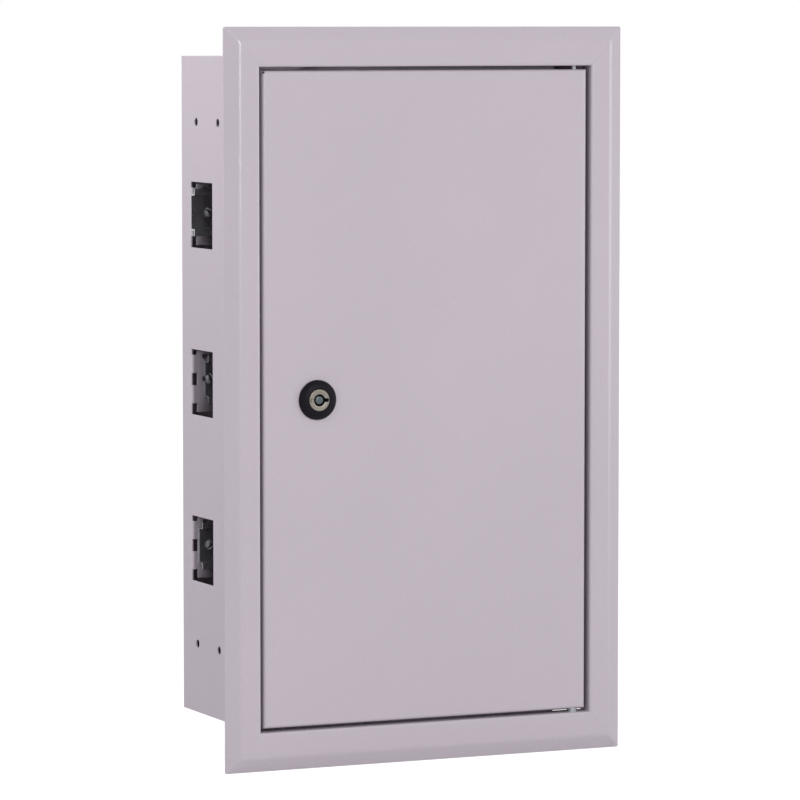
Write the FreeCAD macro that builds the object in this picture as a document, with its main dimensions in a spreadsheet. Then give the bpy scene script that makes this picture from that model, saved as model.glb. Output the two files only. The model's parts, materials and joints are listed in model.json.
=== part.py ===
"""Flush-mounted steel distribution enclosure for three rows of rail-mounted devices.

The frame of reference: X to the right, Y back into the wall, Z up, seen from the front.  The
origin is the centre of the wall fixing holes, on the outer face of the back wall.  Distances
called depths are counted from that face towards the front, so a depth of d lies at Y = -d.
"""
import FreeCAD, Part
import math
import os
import re
import Sketcher

# Driving dimensions, in millimetres
SIZES = {
    # folded box that goes into the wall
    "box_width": 272.0,
    "box_height": 491.0,
    "box_depth": 131.0,
    "gauge": 1.0,
    "bend_radius": 1.0,
    "end_flange": 14.0,
    # lanced side openings and the rail tabs bent in from them
    "row_pitch": 125.0,
    "row_rise": 4.4,
    "lance_height": 49.0,
    "lance_width": 42.0,
    "lance_drop": 1.8,
    "tab_depth": 21.8,
    "tab_length": 34.0,
    "tab_kerf": 1.5,
    "tab_root_radius": 1.6,
    "relief_width": 3.8,
    "relief_past": 0.2,
    "relief_upper": 4.4,
    "relief_lower": 8.2,
    "relief_slot": 9.2,
    "tab_slot_near": 8.0,
    "tab_slot_far": 30.0,
    "tab_hole_radius": 2.2,
    "tab_hole_in": 10.0,
    "tab_hole_up": 17.0,
    # round holes in the side walls
    "side_hole_radius": 3.1,
    "side_hole_end": 50.25,
    "side_hole_rise": 1.5,
    "side_hole_back": 30.5,
    "side_hole_front": 73.0,
    # wall fixing holes in the back
    "fixing_radius": 3.5,
    "fixing_side": 26.0,
    "fixing_end": 20.5,
    # knock-outs in the end plates
    "knockout_radius": 11.0,
    "knockout_kerf": 0.9,
    "knockout_nib": 3.0,
    "knockout_pitch": 60.0,
    "knockout_depth": 84.0,
    # trim frame with the door rebate
    "trim_overlap_side": 24.0,
    "trim_overlap_end": 25.5,
    "trim_stand": 17.0,
    "trim_bevel": 10.5,
    "trim_rim_back": 5.0,
    "trim_drop": 3.6,
    "trim_border_side": 26.5,
    "trim_border_end": 29.0,
    "stop_width": 8.0,
    "stop_clearance": 0.3,
    "ear_inset": 13.0,
    "ear_side": 46.0,
    "ear_width": 16.0,
    "ear_length": 18.0,
    "ear_slot_half": 4.2,
    # door leaf
    "door_gap_side": 3.0,
    "door_gap_end": 2.7,
    "door_recess": 2.4,
    "door_fold": 12.0,
    "door_edge": 2.0,
    "corner_relief": 1.0,
    # door pivots
    "pivot_inset": 8.0,
    "pivot_depth": 6.0,
    "pin_radius": 2.0,
    "pin_clearance": 0.05,
    "pin_reach": 5.0,
    "pin_shoulder_radius": 3.7,
    "pin_shoulder_play": 0.1,
    # cam lock
    "lock_inset": 42.6,
    "bezel_radius": 14.6,
    "bezel_height": 5.0,
    "bezel_round": 3.6,
    "barrel_radius": 9.6,
    "barrel_length": 13.3,
    "plug_radius": 8.1,
    "plug_clearance": 0.06,
    "plug_recess": 0.5,
    "keyway_outer": 4.3,
    "keyway_inner": 3.0,
    "keyway_depth": 7.0,
    "keyway_slot": 2.4,
    "plug_square": 8.0,
    "square_clearance": 0.1,
    "cam_depth": 14.1,
    "cam_thickness": 2.0,
    "cam_reach": 42.0,
    "cam_width": 15.0,
    "cam_hub": 9.5,
    "lock_nut_flats": 25.0,
    "lock_nut_height": 4.0,
    # top-hat rails
    "rail_shortfall": 10.0,
    "rail_width": 35.0,
    "rail_web": 27.0,
    "rail_height": 7.5,
    "rail_slot_pitch": 25.0,
    "rail_slot_half": 7.5,
    "rail_slot_radius": 3.1,
    "rail_screw_inset": 15.0,
    "rail_start_top": 1.0,
    "rail_start_middle": -9.5,
    "rail_start_bottom": -4.5,
    # cover plate over the devices
    "cover_gap_side": 4.0,
    "cover_gap_end": 10.5,
    "cover_face": 75.0,
    "cover_fold": 10.0,
    "window_margin": 23.5,
    "window_height": 46.0,
    "cover_screw_side": 10.0,
    "cover_screw_end": 30.5,
    # brackets, bars, studs and screws
    "bracket_gauge": 1.5,
    "cover_bracket_height": 22.0,
    "cover_bracket_width": 17.0,
    "cover_bracket_leg": 20.0,
    "trim_bracket_width": 20.0,
    "trim_bracket_setback": 5.0,
    "trim_bracket_leg": 16.0,
    "trim_bracket_tail": 9.0,
    "bar_length": 150.0,
    "bar_width": 9.0,
    "bar_height": 7.0,
    "bar_seat": 22.0,
    "bar_end": 38.5,
    "bar_pitch": 16.0,
    "bar_screw_height": 1.2,
    "bar_screw_radius": 2.2,
    "foot_width": 12.0,
    "foot_length": 26.0,
    "foot_span": 120.0,
    "bore_clearance": 0.1,
    "m_four": 2.0,
    "m_five": 2.5,
    "m_six": 3.0,
    "stud_length": 14.0,
    "stud_nut": 5.0,
    "box_stud_side": 24.0,
    "box_stud_end": 60.5,
    "door_stud_in": 28.0,
    "door_stud_up": 26.0,
}

# Places worked out from the driving dimensions
PLACES = {
    "half_box": "box_width / 2",
    "inner_box": "box_width / 2 - gauge",
    "top_box": "box_height / 2",
    "inner_top": "box_height / 2 - gauge",
    "side_hole_pitch": "box_height - 2 * side_hole_end",
    "fixing_pitch_x": "box_width - 2 * fixing_side",
    "fixing_pitch_z": "box_height - 2 * fixing_end",
    "lance_back": "tab_depth - tab_root_radius - relief_past",
    "lance_front": "lance_back + lance_width",
    "trim_face": "box_depth + trim_stand",
    "trim_bracket_face": "box_depth - trim_bracket_setback",
    "rim_back": "trim_face - trim_rim_back - gauge",
    "trim_width": "box_width + 2 * trim_overlap_side",
    "trim_height": "box_height + 2 * trim_overlap_end",
    "opening_width": "trim_width - 2 * trim_border_side",
    "opening_height": "trim_height - 2 * trim_border_end",
    "ear_pitch": "box_width - 2 * ear_side",
    "rim_x": "trim_width / 2",
    "rim_z": "trim_height / 2",
    "half_opening": "opening_width / 2",
    "half_opening_z": "opening_height / 2",
    "door_face": "trim_face - door_recess",
    "door_skin": "door_face - gauge",
    "door_back": "door_face - door_fold",
    "stop_front": "door_back - stop_clearance",
    "stop_back": "stop_front - gauge",
    "door_left": "-half_opening + door_gap_side",
    "door_right": "half_opening - door_gap_side",
    "door_top": "half_opening_z - door_gap_end - trim_drop",
    "door_bottom": "-half_opening_z + door_gap_end - trim_drop",
    "pivot_x": "door_right - pivot_inset",
    "pivot_y": "-(door_face - pivot_depth)",
    "pivot_swing": "sqrt(pow(pivot_inset; 2) + pow(door_fold - pivot_depth; 2))",
    "stop_end": "pivot_x - pivot_swing - 3 * gauge",
    "lock_x": "door_left + lock_inset",
    "lock_z": "-trim_drop",
    "bezel_face": "door_face + bezel_height",
    "plug_face": "bezel_face - plug_recess",
    "barrel_end": "door_face - barrel_length",
    "cam_face": "door_face - cam_depth",
    "cam_back": "cam_face - cam_thickness",
    "rail_front": "tab_depth + rail_height",
    "rail_length": "box_width - rail_shortfall",
    "cover_width": "box_width - 2 * cover_gap_side",
    "cover_height": "box_height - 2 * cover_gap_end",
    "cover_back": "cover_face - gauge",
    "window_width": "cover_width - 2 * window_margin",
    "cover_screw_x": "box_width - 2 * cover_screw_side",
    "cover_screw_z": "box_height - 2 * cover_screw_end",
    "bar_offset": "top_box - bar_end",
    "box_stud_x": "half_box - box_stud_side",
    "box_stud_z": "top_box - box_stud_end",
    "bar_front": "bar_seat + bar_height",
    "door_stud_x": "door_right - door_stud_in",
    "door_stud_z": "door_bottom + door_stud_up",
}

ROWS = (("top", 1), ("middle", 0), ("bottom", -1))
SIDES = (("left", -1), ("right", 1))
ENDS = (("upper", 1), ("lower", -1))

# Small round things that repeat are drawn as prisms with this many sides
SHANK_SIDES = 8
HEAD_SIDES = 10
RING_SIDES = 18

doc = FreeCAD.newDocument("wall_enclosure")
sheet = doc.addObject("Spreadsheet::Sheet", "Sizes")
for row, (alias, value) in enumerate(SIZES.items(), start=1):
    sheet.set(f"A{row}", alias)
    sheet.set(f"B{row}", str(value))
    sheet.setAlias(f"B{row}", alias)
doc.recompute()

NODES = []


def ref(text):
    """An expression in the names above, with each name turned into its cell or its own expression."""

    def swap(match):
        word = match.group()
        if word in SIZES:
            return f"Sizes.{word}"
        if word in PLACES:
            return f"({ref(PLACES[word])})"
        return word

    return re.sub(r"[a-z][a-z_]*", swap, str(text))


def node(thing, label):
    """Names a finished piece."""
    thing.Label = label
    NODES.append(thing)
    return thing


# Sketches

def new_body(label):
    return node(doc.addObject("PartDesign::Body", f"Body_{label}"), label)


def sketch(body, role, height="0", shift=None):
    """A sketch parallel to one of the body's own origin planes, height above it along its normal.

    The normals are +Z for XY_Plane, -Y for XZ_Plane (so height is a depth) and +X for YZ_Plane.
    """
    drawing = body.newObject("Sketcher::SketchObject", f"Sketch{len(doc.Objects)}")
    plane = next(f for f in body.Origin.OriginFeatures if f.Role == role)
    drawing.AttachmentSupport = [(plane, "")]
    drawing.MapMode = "FlatFace"
    drawing.setExpression(".AttachmentOffset.Base.z", ref(height))
    if shift:
        drawing.setExpression(".AttachmentOffset.Base.x", ref(shift[0]))
        drawing.setExpression(".AttachmentOffset.Base.y", ref(shift[1]))
    return drawing


def place(drawing, items):
    """Adds dimensions in one go; an item is a kind, its references, its value now and its expression."""
    first = drawing.ConstraintCount
    drawing.addConstraint([Sketcher.Constraint(kind, *points, value) for kind, points, value, _ in items])
    for index, item in enumerate(items, start=first):
        drawing.setExpression(f"Constraints[{index}]", ref(item[3]))


def at(geometry, point, now, x, y):
    """Dimensions that tie a point of the sketch to a place given as two expressions."""
    return [("DistanceX", (-1, 1, geometry, point), now.x, x), ("DistanceY", (-1, 1, geometry, point), now.y, y)]


def outline(drawing, points):
    """A closed outline of straight edges through the points, each tied to its place."""
    count = len(points)
    first = drawing.GeometryCount
    turns = [0.1 + 2 * math.pi * k / count for k in range(count)]
    start = [FreeCAD.Vector(10 * math.cos(a), 10 * math.sin(a), 0) for a in turns]
    drawing.addGeometry([Part.LineSegment(start[k], start[(k + 1) % count]) for k in range(count)], False)
    drawing.addConstraint([Sketcher.Constraint("Coincident", first + k, 2, first + (k + 1) % count, 1)
                           for k in range(count)])
    items = []
    for k, (x, y) in enumerate(points):
        items += at(first + k, 1, start[k], x, y)
    place(drawing, items)


def rectangle(drawing, x0, x1, y0, y1):
    outline(drawing, [(x0, y0), (x1, y0), (x1, y1), (x0, y1)])


def circle(drawing, x, y, radius):
    middle = FreeCAD.Vector(1, 1, 0)
    geometry = drawing.addGeometry(Part.Circle(middle, FreeCAD.Vector(0, 0, 1), 1.0), False)
    place(drawing, at(geometry, 3, middle, x, y) + [("Radius", (geometry,), 1.0, radius)])


def many_sided(drawing, x, y, radius, sides):
    """A small hole drawn as a regular polygon, to keep what repeats light."""
    turns = [2 * math.pi * (k + 0.5) / sides for k in range(sides)]
    outline(drawing, [(f"({x}) + ({radius}) * {math.cos(a):.6f}", f"({y}) + ({radius}) * {math.sin(a):.6f}")
                      for a in turns])


def slot(drawing, x, y, half, radius, upright=False):
    """A punched slot with clipped corners; half is half its whole length and radius half its width."""
    points = []
    for right, up in ((1, -1), (1, 1), (-1, 1), (-1, -1)):
        end = (f"{right} * ({half})", f"{up} * 0.4 * ({radius})")
        side = (f"{right} * (({half}) - 0.6 * ({radius}))", f"{up} * ({radius})")
        points += [side, end] if right == up * -1 else [end, side]
    if upright:
        points = [(f"-1 * ({b})", a) for a, b in points]
    outline(drawing, [(f"({x}) + {a}", f"({y}) + {b}") for a, b in points])


# Features

def pad(body, drawing, length):
    feature = body.newObject("PartDesign::Pad", f"Pad{len(doc.Objects)}")
    feature.Profile = drawing
    feature.setExpression("Length", ref(length))
    drawing.Visibility = False
    body.Tip = feature
    return feature


def pocket(body, drawing, length=None):
    """Cuts against the sketch's normal by the length, or both ways through everything."""
    feature = body.newObject("PartDesign::Pocket", f"Pocket{len(doc.Objects)}")
    feature.Profile = drawing
    if length is None:
        feature.Type = "ThroughAll"
        feature.Midplane = True
    else:
        feature.setExpression("Length", ref(length))
    body.Tip = feature
    return feature


def repeat(body, feature, axis, length, count):
    """Copies of a feature in a row along an axis of its own sketch."""
    pattern = body.newObject("PartDesign::LinearPattern", f"Pattern{len(doc.Objects)}")
    pattern.Originals = [feature]
    pattern.Direction = (feature.Profile[0], [axis])
    pattern.setExpression("Length", ref(length))
    pattern.Occurrences = count
    body.Tip = pattern
    return pattern


def revolve(body, drawing):
    feature = body.newObject("PartDesign::Revolution", f"Revolution{len(doc.Objects)}")
    feature.Profile = drawing
    feature.ReferenceAxis = (drawing, ["V_Axis"])
    feature.Angle = 360
    body.Tip = feature
    return feature


def edges(shape, test):
    """Names of the edges for which the test of the edge's middle and direction holds."""
    names = []
    for number, edge in enumerate(shape.Edges, start=1):
        middle = edge.valueAt((edge.FirstParameter + edge.LastParameter) / 2)
        if test(edge, middle):
            names.append(f"Edge{number}")
    return names


def fillet(body, radius, test):
    base = body.Tip
    base.recompute(True)
    feature = body.newObject("PartDesign::Fillet", f"Fillet{len(doc.Objects)}")
    feature.Base = (base, edges(base.Shape, test))
    feature.setExpression("Radius", ref(radius))
    body.Tip = feature
    return feature


def along(edge, axis):
    """Whether a straight edge runs along an axis, 0 to 2 for X to Z."""
    if edge.Curve.TypeId != "Part::GeomLine":
        return False
    return abs(abs(edge.Curve.Direction[axis]) - 1) < 1e-6


# Solids made of primitives

def solid_box(x0, x1, depth0, depth1, z0, z1):
    thing = doc.addObject("Part::Box", f"Box{len(doc.Objects)}")
    thing.setExpression("Length", ref(f"({x1}) - ({x0})"))
    thing.setExpression("Width", ref(f"({depth1}) - ({depth0})"))
    thing.setExpression("Height", ref(f"({z1}) - ({z0})"))
    for axis, value in (("x", x0), ("y", f"-({depth1})"), ("z", z0)):
        thing.setExpression(f".Placement.Base.{axis}", ref(value))
    return thing


def turned_forward(thing, x, depth, z):
    """Turns a primitive that stands on +Z to point to the front, from a depth outwards."""
    thing.Placement = FreeCAD.Placement(FreeCAD.Vector(), FreeCAD.Rotation(FreeCAD.Vector(1, 0, 0), 90))
    for axis, value in (("x", x), ("y", f"-({depth})"), ("z", z)):
        thing.setExpression(f".Placement.Base.{axis}", ref(value))
    return thing


def rod(x, z, depth0, depth1, radius):
    """A round bar along Y between two depths."""
    thing = doc.addObject("Part::Cylinder", f"Cylinder{len(doc.Objects)}")
    thing.setExpression("Radius", ref(radius))
    thing.setExpression("Height", ref(f"({depth1}) - ({depth0})"))
    return turned_forward(thing, x, depth0, z)


def prism(x, z, depth0, depth1, radius, sides):
    """A many-sided bar along Y between two depths; its corners lie on the radius."""
    thing = doc.addObject("Part::Prism", f"Prism{len(doc.Objects)}")
    thing.Polygon = sides
    thing.setExpression("Circumradius", ref(radius))
    thing.setExpression("Height", ref(f"({depth1}) - ({depth0})"))
    return turned_forward(thing, x, depth0, z)


def hexagon(x, z, depth0, depth1, flats):
    return prism(x, z, depth0, depth1, f"({flats}) / sqrt(3)", 6)


def joined(*things):
    result = doc.addObject("Part::MultiFuse", f"Fusion{len(doc.Objects)}")
    result.Shapes = list(things)
    return result


def cut(base, tool):
    result = doc.addObject("Part::Cut", f"Cut{len(doc.Objects)}")
    result.Base = base
    result.Tool = tool
    return result


def group(things, label):
    """Separate solids kept in one named piece."""
    result = doc.addObject("Part::Compound", f"Group{len(doc.Objects)}")
    result.Links = things
    return node(result, label)


def pan_screw(x, z, seat, tip, radius, head_radius, head_height):
    """A slotted screw whose head sits on a seat and faces the front, with its shank back to the tip."""
    brow = f"{seat} + 0.55 * {head_height}"
    crown = f"{seat} + {head_height}"
    screw = joined(prism(x, z, tip, f"{seat} + 0.2 * {head_height}", radius, SHANK_SIDES),
                   prism(x, z, seat, crown, head_radius, HEAD_SIDES))
    groove = solid_box(f"({x}) - {head_radius}", f"({x}) + {head_radius}", brow, f"{crown} + 1",
                       f"({z}) - 0.5", f"({z}) + 0.5")
    return cut(screw, groove)


def bore(x, z, depth0, depth1, radius):
    """A clearance hole for a screw's shank."""
    return prism(x, z, depth0, depth1, f"({radius}) + bore_clearance", SHANK_SIDES)


# Folded box

def make_box_shell():
    """Back and both sides from one sheet, with the lanced openings and the rail tabs."""
    body = new_body("box_shell")
    section = sketch(body, "XY_Plane", "-top_box")
    outline(section, [
        ("-half_box", "-box_depth"), ("-half_box", "0"), ("half_box", "0"), ("half_box", "-box_depth"),
        ("inner_box", "-box_depth"), ("inner_box", "-gauge"), ("-inner_box", "-gauge"),
        ("-inner_box", "-box_depth")])
    pad(body, section, "box_height")
    fillet(body, "bend_radius + gauge", lambda e, m: along(e, 2) and abs(m.y) < 1e-6)
    fillet(body, "bend_radius", lambda e, m: along(e, 2) and abs(m.y + SIZES["gauge"]) < 1e-6)

    # the lowest row is drawn, and repeated upwards
    rail = "row_rise - row_pitch"
    high = f"{rail} - lance_drop + lance_height / 2"
    low = f"{rail} - lance_drop - lance_height / 2"
    bend = "-tab_depth"
    past = "-lance_back"
    lances = sketch(body, "YZ_Plane")
    outline(lances, [
        ("-lance_front", low), ("-lance_front", high),
        (past, high), (past, f"{high} - relief_upper"),
        (bend, f"{high} - relief_upper"), (bend, f"{rail} + relief_slot / 2"),
        (past, f"{rail} + relief_slot / 2"), (past, f"{rail} - relief_slot / 2"),
        (bend, f"{rail} - relief_slot / 2"), (bend, f"{low} + relief_lower"),
        (past, f"{low} + relief_lower"), (past, low)])
    repeat(body, pocket(body, lances), "V_Axis", "2 * row_pitch", 3)

    side_holes = sketch(body, "YZ_Plane")
    for up in (1, -1):
        for depth in ("side_hole_back", "side_hole_front"):
            circle(side_holes, f"-{depth}", f"{up} * side_hole_pitch / 2 + side_hole_rise", "side_hole_radius")
    pocket(body, side_holes)

    for _, side in SIDES:
        tab = sketch(body, "XZ_Plane", "tab_depth - gauge")
        root = f"{side} * (half_box - gauge / 2)"
        neck = f"{side} * (half_box - relief_width)"
        tip = f"{side} * (half_box - tab_length)"
        outline(tab, [
            (root, f"{high} - relief_upper"), (neck, f"{high} - relief_upper"),
            (neck, f"{high} - tab_kerf"), (tip, f"{high} - tab_kerf"),
            (tip, f"{low} + tab_kerf"), (neck, f"{low} + tab_kerf"),
            (neck, f"{low} + relief_lower"), (root, f"{low} + relief_lower"),
            (root, f"{rail} - relief_slot / 2"), (neck, f"{rail} - relief_slot / 2"),
            (neck, f"{rail} + relief_slot / 2"), (root, f"{rail} + relief_slot / 2")])
        repeat(body, pad(body, tab, "gauge"), "V_Axis", "2 * row_pitch", 3)
        tab_holes = sketch(body, "XZ_Plane", "tab_depth")
        slot(tab_holes, f"{side} * (half_box - (tab_slot_near + tab_slot_far) / 2)", rail,
             "(tab_slot_far - tab_slot_near) / 2", "m_five + 0.3")
        many_sided(tab_holes, f"{side} * (half_box - tab_hole_in)", f"{rail} + tab_hole_up",
                   "tab_hole_radius", HEAD_SIDES)
        repeat(body, pocket(body, tab_holes, "gauge"), "V_Axis", "2 * row_pitch", 3)

    fixings = sketch(body, "XZ_Plane", "gauge")
    for across in (-1, 1):
        for up in (-1, 1):
            circle(fixings, f"{across} * fixing_pitch_x / 2", f"{up} * fixing_pitch_z / 2", "fixing_radius")
    pocket(body, fixings, "gauge")

    half = SIZES["box_width"] / 2
    gauge = SIZES["gauge"]
    seat = -SIZES["tab_depth"]
    neck = SIZES["lance_height"] / 2
    fillet(body, "tab_root_radius", lambda e, m: along(e, 2) and abs(abs(m.x) - half) < 1e-6
           and abs(m.y - seat) < 1e-6 and e.Length < neck)
    fillet(body, "tab_root_radius - gauge", lambda e, m: along(e, 2) and abs(abs(m.x) - half + gauge) < 1e-6
           and abs(m.y - seat - gauge) < 1e-6 and e.Length < neck)
    return body


def make_end_plate(label, up):
    """One end of the box: a plate with three edges turned in, spot-welded inside the shell."""
    body = new_body(label)
    outer_face = "top_box" if up > 0 else "-inner_top"
    flange_low = "top_box - end_flange" if up > 0 else "-inner_top"
    plate = sketch(body, "XY_Plane", "inner_top" if up > 0 else "-top_box")
    rectangle(plate, "-inner_box", "inner_box", "-box_depth", "-gauge")
    pad(body, plate, "gauge")
    turned = sketch(body, "XY_Plane", flange_low)
    outline(turned, [
        ("-inner_box", "-box_depth"), ("-inner_box", "-gauge"), ("inner_box", "-gauge"),
        ("inner_box", "-box_depth"), ("inner_box - gauge", "-box_depth"), ("inner_box - gauge", "-2 * gauge"),
        ("-inner_box + gauge", "-2 * gauge"), ("-inner_box + gauge", "-box_depth")])
    pad(body, turned, "end_flange - gauge")
    fillet(body, "bend_radius", lambda e, m: along(e, 2) and abs(m.y + SIZES["gauge"]) < 1e-6)
    first = "-knockout_pitch"
    rings = sketch(body, "XY_Plane", outer_face)
    many_sided(rings, first, "-knockout_depth", "knockout_radius + knockout_kerf", RING_SIDES)
    many_sided(rings, first, "-knockout_depth", "knockout_radius", RING_SIDES)
    repeat(body, pocket(body, rings, "gauge"), "H_Axis", "2 * knockout_pitch", 3)
    nibs = sketch(body, "XY_Plane", "inner_top" if up > 0 else "-top_box")
    for side in (-1, 1):
        near = f"{side} * (knockout_radius - gauge)"
        far = f"{side} * (knockout_radius + knockout_kerf + gauge)"
        rectangle(nibs, f"{first} + {near}", f"{first} + {far}",
                  "-knockout_depth - knockout_nib / 2", "-knockout_depth + knockout_nib / 2")
    repeat(body, pad(body, nibs, "gauge"), "H_Axis", "2 * knockout_pitch", 3)
    return body


# Trim frame and door

def framed(drawing, across, up):
    """A rectangle about the trim frame's middle, from its half width and half height."""
    rectangle(drawing, f"-({across})", across, f"-({up}) - trim_drop", f"({up}) - trim_drop")


def bevel(body, kind, lift):
    """The sloping border from the rim to the flat face, added at its front or cut away behind."""
    low = sketch(body, "XZ_Plane", f"rim_back + {lift}")
    framed(low, "rim_x", "rim_z")
    high = sketch(body, "XZ_Plane", f"trim_face - gauge + {lift}")
    framed(high, "rim_x - trim_bevel", "rim_z - trim_bevel")
    loft = body.newObject(kind, f"Loft{len(doc.Objects)}")
    loft.Profile = low
    loft.Sections = [high]
    loft.Ruled = True
    body.Tip = loft
    return loft


def make_trim_frame():
    """Bevelled frame folded from strip and mitred, with the door rebate and its stop."""
    body = new_body("trim_frame")
    rim = sketch(body, "XZ_Plane", "rim_back")
    framed(rim, "rim_x", "rim_z")
    pad(body, rim, "gauge")
    bevel(body, "PartDesign::AdditiveLoft", "gauge")
    bevel(body, "PartDesign::SubtractiveLoft", "0")
    mouth_cut = sketch(body, "XZ_Plane", "trim_face")
    framed(mouth_cut, "half_opening", "half_opening_z")
    pocket(body, mouth_cut, "trim_face - rim_back")
    collar = sketch(body, "XZ_Plane", "stop_back")
    framed(collar, "half_opening", "half_opening_z")
    framed(collar, "half_opening + gauge", "half_opening_z + gauge")
    pad(body, collar, "trim_face - gauge / 2 - stop_back")
    stop = sketch(body, "XZ_Plane", "stop_back")
    framed(stop, "half_opening - stop_width", "half_opening_z - stop_width")
    framed(stop, "half_opening + gauge / 2", "half_opening_z + gauge / 2")
    pad(body, stop, "gauge")
    half = SIZES["box_width"] / 2 + SIZES["trim_overlap_side"] - SIZES["trim_border_side"]
    half_z = SIZES["box_height"] / 2 + SIZES["trim_overlap_end"] - SIZES["trim_border_end"]

    def mouth(edge, middle):
        """The four edges where the flat turns into the rebate."""
        z = middle.z + SIZES["trim_drop"]
        return abs(middle.y + SIZES["box_depth"] + SIZES["trim_stand"]) < 1e-6 and abs(middle.x) < half + 1 and abs(z) < half_z + 1

    fillet(body, "bend_radius + 0.5", mouth)

    ears = sketch(body, "XZ_Plane", "stop_back")
    for _, side in SIDES:
        for up in (1, -1):
            edge = f"{up} * (half_opening_z - gauge) - trim_drop"
            end = f"{up} * (half_opening_z - stop_width - ear_length) - trim_drop"
            middle = f"{side} * ear_pitch / 2"
            low, high = (end, edge) if up > 0 else (edge, end)
            rectangle(ears, f"{middle} - ear_width / 2", f"{middle} + ear_width / 2", low, high)
    pad(body, ears, "gauge")
    ear_slots = sketch(body, "XZ_Plane", "stop_front")
    for _, side in SIDES:
        for up in (1, -1):
            slot(ear_slots, f"{side} * ear_pitch / 2", f"{up} * (half_opening_z - ear_inset) - trim_drop",
                 "ear_slot_half", "m_four + 0.2", upright=True)
    pocket(body, ear_slots, "gauge")

    relief = sketch(body, "XZ_Plane", "stop_front")
    rectangle(relief, "stop_end", "half_opening", "-half_opening_z - trim_drop", "half_opening_z - trim_drop")
    pocket(body, relief, "gauge")
    pivots = sketch(body, "XY_Plane")
    circle(pivots, "pivot_x", "pivot_y", "pin_radius")
    pocket(body, pivots)
    return body


def make_door_panel():
    """Door leaf: a shallow tray with rounded folds, bored for the lock and the two pivots."""
    body = new_body("door_panel")
    face = sketch(body, "XZ_Plane", "door_back")
    rectangle(face, "door_left", "door_right", "door_bottom", "door_top")
    pad(body, face, "door_fold")
    front = -(SIZES["box_depth"] + SIZES["trim_stand"] - SIZES["door_recess"])
    fillet(body, "door_edge", lambda e, m: abs(m.y - front) < 1e-6)
    base = body.Tip
    base.recompute(True)
    back = max(range(len(base.Shape.Faces)), key=lambda n: base.Shape.Faces[n].CenterOfMass.y)
    shell = body.newObject("PartDesign::Thickness", "Fold_all_round")
    shell.Base = (base, [f"Face{back + 1}"])
    shell.setExpression("Value", ref("gauge"))
    shell.Reversed = True
    body.Tip = shell

    bore = sketch(body, "XZ_Plane", "door_face")
    circle(bore, "lock_x", "lock_z", "barrel_radius")
    pocket(body, bore, "2 * gauge")
    relief = sketch(body, "XZ_Plane", "door_face")
    many_sided(relief, "door_left + 0.8 * corner_relief", "door_top - corner_relief", "corner_relief", SHANK_SIDES)
    pocket(body, relief, "3 * gauge")
    pivots = sketch(body, "XY_Plane")
    circle(pivots, "pivot_x", "pivot_y", "pin_radius + pin_clearance")
    pocket(body, pivots)
    return body


def make_hinge_pin(label, up):
    """Pivot pin in the rebate; the lower one has a shoulder that carries the door."""
    body = new_body(label)
    rebate = "half_opening_z"
    if up > 0:
        low = f"{rebate} - trim_drop - door_gap_end - pin_reach"
        drawing = sketch(body, "XY_Plane", low)
        circle(drawing, "pivot_x", "pivot_y", "pin_radius")
        pad(body, drawing, "pin_reach + door_gap_end + gauge")
    else:
        low = f"-{rebate} - trim_drop - gauge"
        drawing = sketch(body, "XY_Plane", low)
        circle(drawing, "pivot_x", "pivot_y", "pin_radius")
        pad(body, drawing, "pin_reach + door_gap_end + gauge")
        shoulder = sketch(body, "XY_Plane", f"-{rebate} - trim_drop")
        many_sided(shoulder, "pivot_x", "pivot_y", "pin_shoulder_radius", HEAD_SIDES)
        pad(body, shoulder, "door_gap_end - pin_shoulder_play")
    return body


# Cam lock

def make_lock_housing():
    body = new_body("lock_housing")
    section = sketch(body, "XY_Plane", "lock_z", ("lock_x", "0"))
    plug_bore = "plug_radius + plug_clearance"
    brow = []
    for angle in (90, 45, 0):
        out = math.cos(math.radians(angle))
        up = math.sin(math.radians(angle))
        brow.append((f"bezel_radius - bezel_round * {1 - out:.6f}", f"-(bezel_face - bezel_round * {1 - up:.6f})"))
    outline(section, [(plug_bore, "-bezel_face")] + brow + [
        ("bezel_radius", "-door_face"), ("barrel_radius", "-door_face"), ("barrel_radius", "-barrel_end"),
        (plug_bore, "-barrel_end")])
    revolve(body, section)
    return body


def make_lock_plug():
    """Turning plug with its ring keyway, a key slot towards the right and a square tail."""
    body = new_body("lock_plug")
    barrel = sketch(body, "XZ_Plane", "cam_face", ("lock_x", "lock_z"))
    circle(barrel, "0", "0", "plug_radius")
    pad(body, barrel, "plug_face - cam_face")
    tail = sketch(body, "XZ_Plane", "cam_back - 0.3", ("lock_x", "lock_z"))
    rectangle(tail, "-plug_square / 2", "plug_square / 2", "-plug_square / 2", "plug_square / 2")
    pad(body, tail, "cam_thickness + 0.3")
    keyway = sketch(body, "XZ_Plane", "plug_face", ("lock_x", "lock_z"))
    circle(keyway, "0", "0", "keyway_outer")
    circle(keyway, "0", "0", "keyway_inner")
    pocket(body, keyway, "keyway_depth")
    key_slot = sketch(body, "XZ_Plane", "plug_face", ("lock_x", "lock_z"))
    rectangle(key_slot, "(keyway_outer + keyway_inner) / 2", "plug_radius - 0.7", "-keyway_slot / 2",
              "keyway_slot / 2")
    pocket(body, key_slot, "keyway_depth")
    screw_hole = sketch(body, "XZ_Plane", "cam_back + 6", ("lock_x", "lock_z"))
    many_sided(screw_hole, "0", "0", "m_four + 0.2", SHANK_SIDES)
    pocket(body, screw_hole, "6.3")
    return body


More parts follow.
